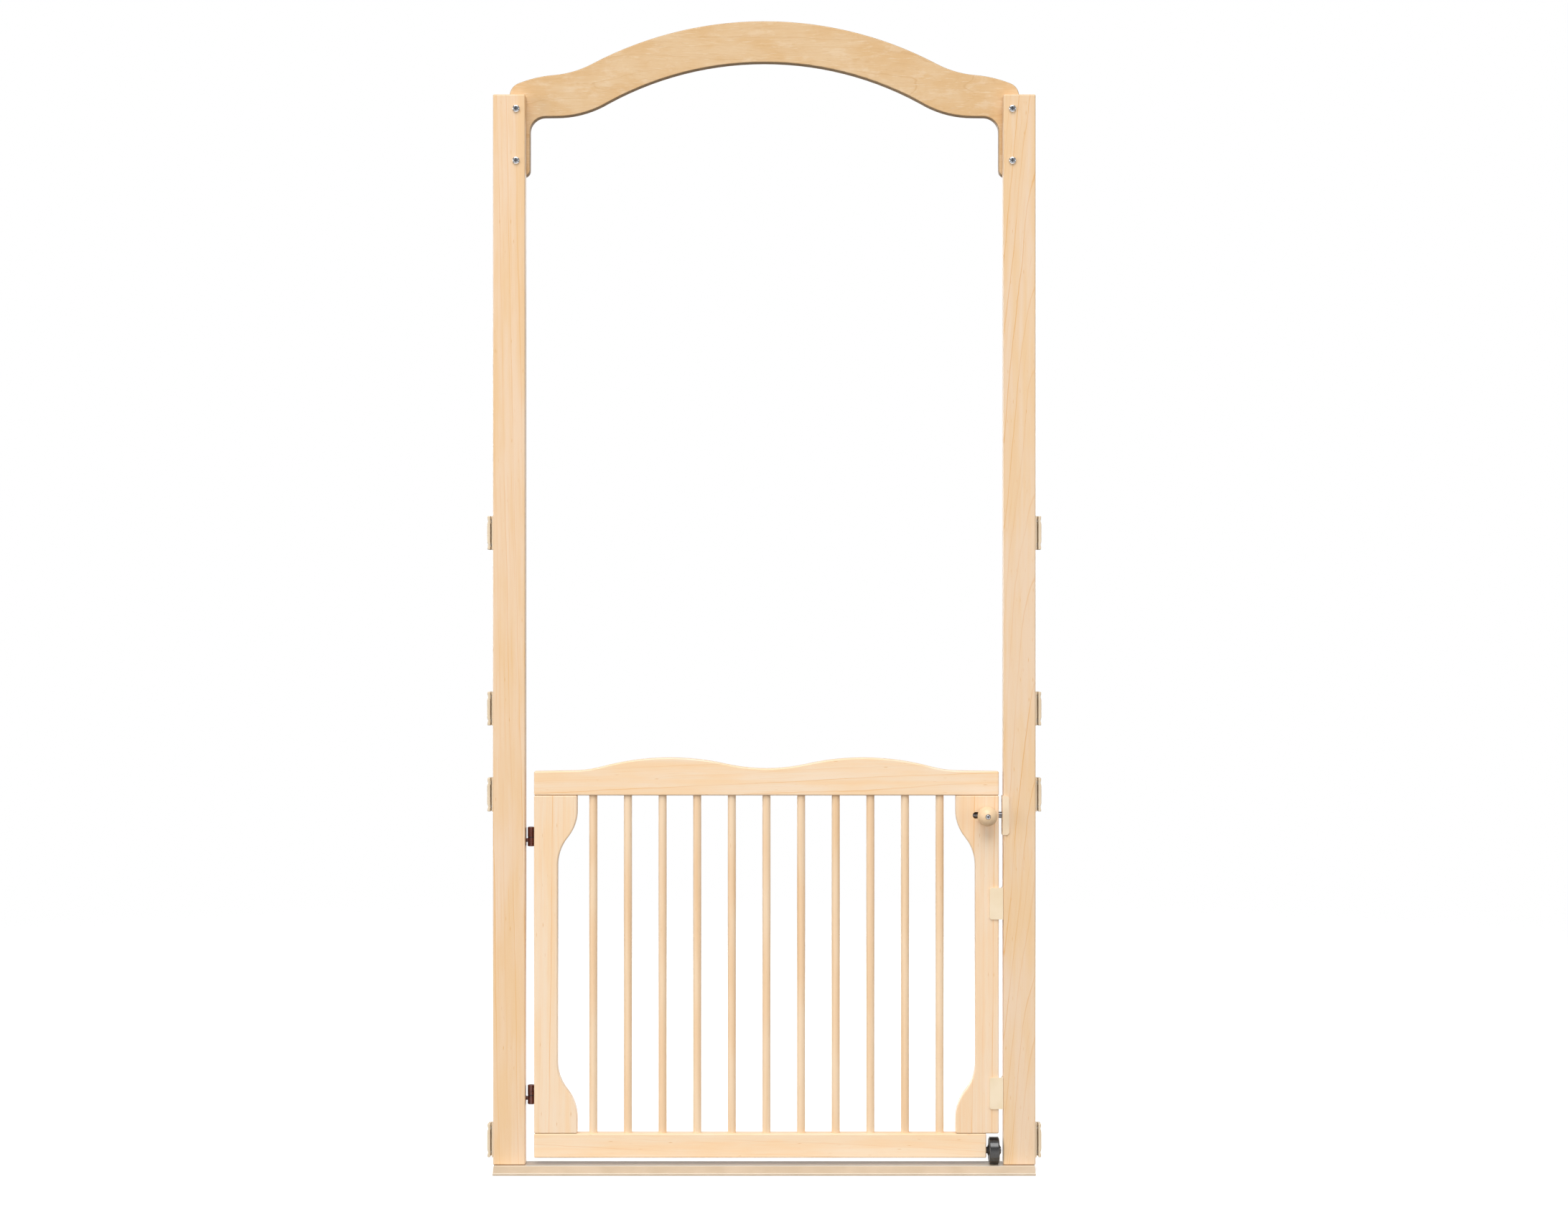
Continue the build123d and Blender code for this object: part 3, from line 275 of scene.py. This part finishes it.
def turned_maple(name, light, dark, line):
    """Maple rods: straight grain along Z that differs from rod to rod with their place."""
    graph = Graph(name)
    source, _ = graph.place()
    x, y, z = graph.split(source)
    place = graph.join(z, x, y)
    streak = graph.noise(graph.scaled(place, (2.4, 90.0, 90.0)), 1.0, 2.0, 0.5)
    cloud = graph.noise(graph.scaled(place, (5.0, 24.0, 24.0)), 1.0, 2.0, 0.5)
    fine, coarse = fibres(graph, place, 4.0)
    colour = graph.mix(graph.smooth(cloud, 0.36, 0.64), light, dark)
    colour = graph.mix(graph.smooth(streak, 0.50, 0.74, 0.0, 0.34), colour, line)
    colour = graph.mix(graph.smooth(fine, 0.50, 0.85, 0.0, 0.20), colour, line)
    marks = flecks(graph, place, 0.018, 0.0022, 0.035, 2.0)
    colour = graph.mix(graph.times(marks, 0.55), colour, srgb(214, 160, 90))
    roughness = graph.plus(graph.times(fine, 0.12), 0.36)
    normal = graph.bump(graph.plus(fine, graph.times(coarse, 0.5)), 0.0001, 0.5)
    return graph.finish(colour, roughness, normal, Coat_Weight=0.10, Coat_Roughness=0.22)


def plywood(name, node):
    """Birch plywood: rotary-cut face veneer, grain along X, and layers showing on the cut edges."""
    low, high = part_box(node)
    graph = Graph(name)
    source, direction = graph.place()
    place = board_axes(graph, source, "X", (low + high) / 2)
    growth, moved = growth_lines(graph, place, (0.02, 0.16), 0.0068, 0.012, 0.055, 6.0)
    fine, coarse = fibres(graph, moved, 6.0)
    cloud = graph.noise(graph.scaled(moved, (10.0, 20.0, 20.0)), 1.0, 3.0, 0.6)
    shimmer = graph.noise(graph.scaled(moved, (26.0, 62.0, 62.0)), 1.0, 4.0, 0.65)
    dash = graph.noise(graph.scaled(moved, (48.0, 640.0, 640.0)), 1.0, 3.0, 0.6)
    pale = graph.noise(graph.stretched(moved, (42.0, 520.0, 520.0), (5.0, 3.0, 1.0)),
                       1.0, 3.0, 0.6)
    face = graph.mix(graph.smooth(cloud, 0.38, 0.62), srgb(226, 193, 150), srgb(221, 182, 132))
    face = graph.mix(graph.smooth(shimmer, 0.52, 0.70, 0.0, 0.48), face, srgb(235, 209, 175))
    face = graph.mix(graph.times(growth, 0.42), face, srgb(200, 152, 92))
    face = graph.mix(graph.smooth(coarse, 0.46, 0.80, 0.0, 0.25), face, srgb(210, 168, 116))
    face = graph.mix(graph.smooth(dash, 0.54, 0.74, 0.0, 0.36), face, srgb(198, 152, 98))
    face = graph.mix(graph.smooth(pale, 0.56, 0.72, 0.0, 0.55), face, srgb(236, 212, 178))
    dashes = flecks(graph, moved, 0.014, 0.0020, 0.10, 3.0)
    face = graph.mix(graph.times(dashes, 0.26), face, srgb(192, 144, 88))
    # layers, seen where the surface turns away from the faces
    _, depth, _ = graph.split(source)
    layer = graph.calc("DIVIDE", graph.calc("SUBTRACT", depth, low.y), (high.y - low.y) / PLY_COUNT)
    odd = graph.calc("GREATER_THAN", graph.calc("FRACT", graph.times(layer, 0.5)), 0.5)
    from_middle = graph.calc("SUBTRACT", graph.calc("FRACT", layer), 0.5)
    glue = graph.smooth(graph.calc("ABSOLUTE", from_middle), 0.40, 0.5)
    grit = graph.noise(graph.scaled(source, (260.0, 1400.0, 260.0)), 1.0, 3.0, 0.6)
    layers = graph.mix(odd, srgb(186, 154, 114), srgb(160, 128, 92))
    layers = graph.mix(graph.smooth(grit, 0.35, 0.75, 0.0, 0.45), layers, srgb(142, 110, 76))
    layers = graph.mix(graph.times(glue, 0.35), layers, srgb(112, 84, 58))
    _, facing, _ = graph.split(direction)
    edge = graph.smooth(graph.calc("ABSOLUTE", facing), 0.80, 0.97, 1.0, 0.0)
    colour = graph.mix(edge, face, layers)
    roughness = graph.plus(graph.times(fine, 0.14), graph.times(edge, 0.16))
    roughness = graph.plus(roughness, 0.38)
    height = graph.plus(graph.times(fine, 0.5), graph.times(grit, 0.5))
    normal = graph.bump(height, 0.00012, 0.55)
    return graph.finish(colour, roughness, normal, Coat_Weight=0.06, Coat_Roughness=0.3)


def knob_wood(name, node):
    """A turned ball: the rings of the blank, whose pith runs along Y, show as faint bands on it."""
    low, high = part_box(node)
    graph = Graph(name)
    source, _ = graph.place()
    x, y, z = graph.split(graph.vector("SUBTRACT", source, tuple((low + high) / 2)))
    place = graph.join(y, x, z)
    growth, moved = growth_lines(graph, place, (0.016, -0.020), 0.0042, 0.0, 0.003, 3.0)
    fine, _ = fibres(graph, moved, 3.0)
    colour = graph.mix(graph.times(growth, 0.50), srgb(240, 209, 170), srgb(222, 176, 116))
    colour = graph.mix(graph.smooth(fine, 0.40, 0.80, 0.0, 0.35), colour, srgb(228, 188, 138))
    roughness = graph.plus(graph.times(fine, 0.12), 0.34)
    normal = graph.bump(fine, 0.00008, 0.5)
    return graph.finish(colour, roughness, normal, Coat_Weight=0.15, Coat_Roughness=0.20)


# ------------------------------------------------------------------ paint, metal, rubber, plastic
def powder_coat(name, base, shade, gloss, coat, trodden_and_top_lit=False):
    """Sprayed and baked coating: orange peel, faint clouding, a little dust-like speckle.

    With the flag set, the coat is smoother and has faint streaks along X, and its level strips
    carry a painted highlight: they are drawn pale, as if lit from above.
    """
    graph = Graph(name)
    source, direction = graph.place()
    cloud = graph.noise(source, 26.0, 2.0, 0.5)
    speck = graph.noise(source, 1900.0, 2.0, 0.6)
    texture = graph.noise(source, 620.0, 2.0, 0.45)
    colour = graph.mix(graph.smooth(cloud, 0.30, 0.72, 0.0, 0.75), base, shade)
    colour = graph.mix(graph.smooth(speck, 0.62, 0.80, 0.0, 0.20), colour, shade)
    if trodden_and_top_lit:
        run = graph.noise(graph.scaled(source, (3.0, 420.0, 420.0)), 1.0, 3.0, 0.6)
        colour = graph.mix(graph.smooth(run, 0.42, 0.74, 0.0, 0.22), colour, shade)
        texture = graph.plus(texture, graph.times(run, 0.4))
        # painted highlight: the level strips in front of the gate and behind it, clear of the strip
        # beneath it, are drawn pale, as if lit from above
        _, depth, _ = graph.split(source)
        _, _, upward = graph.split(direction)
        top_light_share = graph.times(graph.smooth(graph.calc("ABSOLUTE", depth), *TOP_LIGHT_FROM),
                           graph.smooth(upward, 0.88, 0.99))
        colour = graph.mix(graph.times(top_light_share, 0.95), colour, PAINTED_TOP_LIGHT)
    roughness = graph.plus(graph.times(texture, 0.16), gloss - 0.08)
    normal = graph.bump(texture, 0.000012 if trodden_and_top_lit else 0.00003, 0.6)
    return graph.finish(colour, roughness, normal, Coat_Weight=coat, Coat_Roughness=0.12)


def enamel(name):
    """Dark red-brown glossy enamel over a cast hinge: thin and redder on raised spots."""
    graph = Graph(name)
    source, _ = graph.place()
    cloud = graph.noise(source, 160.0, 3.0, 0.55)
    texture = graph.noise(source, 900.0, 2.0, 0.5)
    colour = graph.mix(graph.smooth(cloud, 0.34, 0.68), srgb(86, 39, 27), srgb(106, 51, 38))
    colour = graph.mix(graph.smooth(texture, 0.58, 0.80, 0.0, 0.4), colour, srgb(62, 30, 22))
    roughness = graph.plus(graph.times(texture, 0.18), 0.20)
    normal = graph.bump(texture, 0.00009, 0.6)
    return graph.finish(colour, roughness, normal, Coat_Weight=0.30, Coat_Roughness=0.12)


def turned_steel(name, base, spot, rough, across, head=None):
    """Bare metal with the fine rings of turning or drawing, and a few dull spots.

    head is a node of screws driven from the front and the height of their heads: the floors of the
    cross recesses, half that height down, are rougher and are painted dark as painted shade.
    """
    graph = Graph(name)
    source, direction = graph.place()
    rings = graph.noise(graph.scaled(source, across), 1.0, 3.0, 0.65)
    dull = graph.noise(source, 210.0, 3.0, 0.6)
    colour = graph.mix(graph.smooth(dull, 0.50, 0.78, 0.0, 0.45), base, spot)
    roughness = graph.plus(graph.times(rings, 0.16), rough - 0.08)
    roughness = graph.plus(roughness, graph.smooth(dull, 0.50, 0.78, 0.0, 0.10))
    if head is not None:
        node, height = head
        low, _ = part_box(node)
        _, depth, _ = graph.split(source)
        _, facing, _ = graph.split(direction)
        down = graph.calc("DIVIDE", graph.calc("SUBTRACT", depth, low.y), height)
        # painted shade: the floors of the cross recesses are drawn dark
        recess = graph.times(graph.smooth(down, 0.20, 0.40), graph.smooth(facing, -0.90, -0.98))
        colour = graph.mix(recess, colour, RECESS_SHADE)
        roughness = graph.plus(roughness, graph.times(recess, 0.35))
    normal = graph.bump(rings, 0.00003, 0.5)
    return graph.finish(colour, roughness, normal, Metallic=1.0)


def rubber(name):
    """Charcoal moulded rubber: fine grain, faint turning lines and light dust."""
    graph = Graph(name)
    source, _ = graph.place()
    grain = graph.noise(source, 2200.0, 2.0, 0.6)
    lines = graph.noise(graph.scaled(source, (1400.0, 30.0, 30.0)), 1.0, 2.0, 0.5)
    dust = graph.noise(source, 120.0, 4.0, 0.6)
    colour = graph.mix(graph.smooth(dust, 0.40, 0.75, 0.0, 0.6), srgb(34, 34, 35), srgb(46, 45, 44))
    colour = graph.mix(graph.smooth(grain, 0.55, 0.80, 0.0, 0.5), colour, srgb(28, 28, 28))
    roughness = graph.plus(graph.times(grain, 0.10), 0.22)
    roughness = graph.plus(roughness, graph.smooth(dust, 0.40, 0.75, 0.0, 0.06))
    height = graph.plus(graph.times(grain, 0.5), graph.times(lines, 0.6))
    return graph.finish(colour, roughness, graph.bump(height, 0.00003, 0.5), Specular_IOR_Level=0.5,
                        Coat_Weight=0.6, Coat_Roughness=0.16)


def nylon(name):
    """Black satin moulded plastic with a fine spark-eroded texture."""
    graph = Graph(name)
    source, _ = graph.place()
    grain = graph.noise(source, 1500.0, 3.0, 0.6)
    flow = graph.noise(source, 90.0, 2.0, 0.5)
    colour = graph.mix(graph.smooth(flow, 0.35, 0.70), srgb(38, 38, 39), srgb(50, 50, 50))
    roughness = graph.plus(graph.times(grain, 0.20), 0.30)
    return graph.finish(colour, roughness, graph.bump(grain, 0.00005, 0.5))


# ------------------------------------------------------------------ materials on the CAD nodes
def dress(names, material):
    """Puts the material in every slot of the named nodes."""
    for name in names:
        slots = nodes[name].data.materials
        if len(slots) == 0:
            slots.append(material)
        for index in range(len(slots)):
            slots[index] = material


def named(*parts):
    """The CAD nodes whose names contain one of the given parts of a name."""
    return [name for name in nodes if any(part in name for part in parts)]


# node, name of its material, direction of the grain, pale wood, warm wood, late wood, growth
BOARDS = [
    ("left_post", "left_post_maple", "Z",
     srgb(242, 212, 180), srgb(239, 202, 157), srgb(230, 170, 88),
     dict(pith=(-0.16, 0.05), spacing=0.0155, slant=0.020, wander=0.016, lines=0.85, seed=11.0,
          spots=0.05)),
    ("right_post", "right_post_maple", "Z",
     srgb(238, 210, 180), srgb(237, 202, 158), srgb(223, 162, 80),
     dict(pith=(0.038, 0.028), spacing=0.0125, slant=0.078, wander=0.034, lines=0.80, seed=23.0,
          spots=0.09)),
    ("gate_top_rail", "top_rail_maple", "X",
     srgb(248, 224, 196), srgb(249, 214, 172), srgb(233, 172, 90),
     dict(pith=(-0.07, 0.06), spacing=0.0135, slant=-0.035, wander=0.026, lines=0.60, seed=31.0)),
    ("gate_bottom_rail", "bottom_rail_maple", "X",
     srgb(249, 224, 193), srgb(249, 213, 170), srgb(233, 170, 88),
     dict(pith=(0.05, 0.06), spacing=0.0140, slant=-0.030, wander=0.018, lines=0.60, seed=41.0)),
    ("hinge_stile", "hinge_stile_maple", "Z",
     srgb(248, 223, 194), srgb(248, 214, 173), srgb(238, 176, 94),
     dict(pith=(0.14, 0.06), spacing=0.0165, slant=0.012, wander=0.014, lines=0.62, seed=53.0)),
    ("latch_stile", "latch_stile_maple", "Z",
     srgb(246, 222, 194), srgb(246, 211, 171), srgb(234, 170, 86),
     dict(pith=(-0.15, 0.06), spacing=0.0160, slant=-0.010, wander=0.014, lines=0.62, seed=61.0)),
]
for node, name, along, light, dark, line, growth in BOARDS:
    dress([node], maple(name, node, along, light, dark, line, **growth))

dress([name for name in nodes if name.startswith("spindle_")] + ["corner_dowels"],
      turned_maple("spindle_maple", srgb(247, 219, 185), srgb(243, 208, 168), srgb(226, 180, 122)))
dress(["arch_header"], plywood("birch_plywood", "arch_header"))
dress(["latch_knob"], knob_wood("knob_maple", "latch_knob"))

dress(["threshold_ramp"],
      powder_coat("threshold_coat", srgb(208, 187, 162), srgb(197, 176, 149), 0.20, 0.6,
                  trodden_and_top_lit=True))
# painted shade: the connectors wear the stops' beige coat, drawn in a darker copy as if in shade
dress([name for name in named("connector_") if name != "connector_screws"],
      powder_coat("connector_coat_shaded_copy", srgb(233, 214, 186), srgb(223, 202, 170), 0.40, 0.12))
dress(["upper_gate_stop", "lower_gate_stop"],
      powder_coat("beige_coat", srgb(247, 228, 198), srgb(239, 217, 181), 0.40, 0.12))
# painted shade: the strike wears the stops' beige coat, drawn in a darker copy as if in shade under
# the knob
dress(["latch_strike"],
      powder_coat("strike_coat_shaded_copy", srgb(243, 221, 190), srgb(235, 210, 174), 0.40, 0.12))
dress(named("hinge_post_leaf", "hinge_gate_leaf") + ["hinge_set_screws"], enamel("brown_enamel"))

dress(named("hinge_washer") + ["roller_wheel"], nylon("black_nylon"))
dress(["roller_tyre"], rubber("charcoal_rubber"))

dress(["arch_screws"],
      turned_steel("bright_zinc", srgb(214, 216, 220), srgb(170, 172, 178), 0.14, EVEN,
                   head=("arch_screws", ARCH_SCREW_HEAD)))
dress(["knob_screw"],
      turned_steel("knob_screw_steel", srgb(196, 198, 202), srgb(150, 152, 158), 0.20, EVEN,
                   head=("knob_screw", KNOB_SCREW_HEAD)))
dress(["threshold_screws", "connector_screws", "strike_screws", "stop_screws", "post_leaf_screws",
       "gate_leaf_screws"],
      turned_steel("screw_steel", srgb(158, 161, 166), srgb(124, 126, 132), 0.24, EVEN))
dress(["latch_rod", "knob_sleeve", "roller_axle", "roller_spacer"] + named("hinge_pin"),
      turned_steel("drawn_steel", srgb(122, 122, 126), srgb(120, 118, 116), 0.30, TURNED_ABOUT_X))
dress(["arch_inserts", "axle_insert"],
      turned_steel("turned_brass", srgb(214, 178, 104), srgb(170, 132, 66), 0.28, TURNED_ABOUT_Y))


# ------------------------------------------------------------------ floor and backdrop
def stage_piece(name, build, **shape):
    """A piece of the stage, made by one bmesh operator."""
    mesh = bpy.data.meshes.new(name)
    made = bmesh.new()
    build(made, **shape)
    made.to_mesh(mesh)
    made.free()
    piece = bpy.data.objects.new(name, mesh)
    bpy.context.scene.collection.objects.link(piece)
    return piece


def hide_from(thing, *rays):
    """Keeps the thing out of the named kinds of ray, such as diffuse or glossy."""
    for ray in rays:
        setattr(thing, "visible_" + ray, False)


def floor_material():
    """Pale and faintly mottled, and clear further out, so that the floor has no edge."""
    graph = Graph("pale_floor")
    source, _ = graph.place()
    tone = graph.noise(source, 3.0, 3.0, 0.5)
    colour = graph.mix(tone, (0.90, 0.90, 0.90, 1), (0.93, 0.93, 0.925, 1))
    shader = graph.node("ShaderNodeBsdfPrincipled",
                        {"Base Color": colour, "Roughness": 0.7, "Specular IOR Level": 0.2,
                         "Emission Color": (1, 1, 1, 1), "Emission Strength": 0.45})
    clear = graph.node("ShaderNodeBsdfTransparent")
    fade = graph.smooth(graph.vector("LENGTH", source), *FLOOR_FADE)
    blend = graph.node("ShaderNodeMixShader", {0: fade, 1: shader.outputs[0], 2: clear.outputs[0]})
    graph.feed(graph.output.inputs["Surface"], blend.outputs[0])
    return graph.material


def backdrop_material():
    """Plain white light that only the camera sees."""
    graph = Graph("white_backdrop")
    glow = graph.node("ShaderNodeEmission", {"Color": (1, 1, 1, 1), "Strength": 1.0})
    graph.feed(graph.output.inputs["Surface"], glow.outputs[0])
    return graph.material


floor = stage_piece("floor", bmesh.ops.create_circle, cap_ends=True, segments=96,
                    radius=FLOOR_RADIUS)
floor.location.z = -FLOOR_DROP
floor.data.materials.append(floor_material())
hide_from(floor, "diffuse")

backdrop = stage_piece("backdrop", bmesh.ops.create_icosphere, subdivisions=4,
                       radius=BACKDROP_RADIUS)
backdrop.data.materials.append(backdrop_material())
hide_from(backdrop, "diffuse", "glossy", "transmission", "volume_scatter", "shadow")


# ------------------------------------------------------------------ light
def studio_world():
    """Even grey light from all round, stronger from above."""
    world = bpy.data.worlds.new("studio")
    world.use_nodes = True
    tree = world.node_tree
    tree.nodes.clear()
    heading = tree.nodes.new("ShaderNodeTexCoord")
    parts = tree.nodes.new("ShaderNodeSeparateXYZ")
    half = tree.nodes.new("ShaderNodeMath")
    half.operation = "MULTIPLY_ADD"
    half.inputs[1].default_value = 0.5
    half.inputs[2].default_value = 0.5
    ramp = tree.nodes.new("ShaderNodeValToRGB")
    for stop, place, colour in zip(ramp.color_ramp.elements, (0.30, 0.85),
                                   ((0.13, 0.125, 0.12, 1), (0.38, 0.38, 0.38, 1))):
        stop.position = place
        stop.color = colour
    background = tree.nodes.new("ShaderNodeBackground")
    output = tree.nodes.new("ShaderNodeOutputWorld")
    tree.links.new(heading.outputs["Generated"], parts.inputs[0])
    tree.links.new(parts.outputs[2], half.inputs[0])
    tree.links.new(half.outputs[0], ramp.inputs[0])
    tree.links.new(ramp.outputs[0], background.inputs[0])
    tree.links.new(background.outputs[0], output.inputs[0])
    return world


def soft_light(name, location, aim_height, width, height, power):
    """A white panel that faces the part's middle line at the given height."""
    data = bpy.data.lights.new(name, "AREA")
    data.shape = "RECTANGLE"
    data.size = width
    data.size_y = height
    data.energy = power
    light = bpy.data.objects.new(name, data)
    bpy.context.scene.collection.objects.link(light)
    light.location = location
    aim = Vector((0, 0, aim_height))
    light.rotation_euler = (aim - Vector(location)).to_track_quat("-Z", "Y").to_euler()
    hide_from(light, "camera")
    return light


bpy.context.scene.world = studio_world()
soft_light("overhead", (-1.2, -9.0, 14.0), 0.9, 12.0, 10.0, 2050.0)
soft_light("left", (-14.0, -7.0, 2.5), 1.0, 8.0, 7.0, 690.0)
soft_light("right", (12.0, -8.0, 2.5), 1.0, 8.0, 6.0, 240.0)
soft_light("back_strip", (0.2, 9.0, 3.6), 0.3, 10.0, 2.0, 90.0)
soft_light("back_left", (-5.5, 9.0, 1.5), 1.0, 5.0, 2.6, 330.0)
soft_light("back_right", (6.5, 9.0, 1.5), 1.0, 5.0, 2.6, 220.0)
# one panel only lights, and one only shows in what is glossy
hide_from(soft_light("front", (1.0, -12.0, 1.6), 0.8, 6.0, 4.0, 300.0), "glossy")
hide_from(soft_light("front_card", (0.0, -12.0, 1.2), 1.2, 9.0, 5.0, 75.0), "diffuse")

# ------------------------------------------------------------------ camera
eye = bpy.data.cameras.new("camera")
eye.lens = CAMERA_LENS
eye.sensor_width = 36.0
eye.clip_end = 200.0
camera = bpy.data.objects.new("camera", eye)
bpy.context.scene.collection.objects.link(camera)
camera.location = CAMERA_PLACE
camera.rotation_euler = (math.radians(90.0), 0.0, 0.0)
bpy.context.scene.camera = camera
bpy.context.scene.view_settings.view_transform = "Standard"
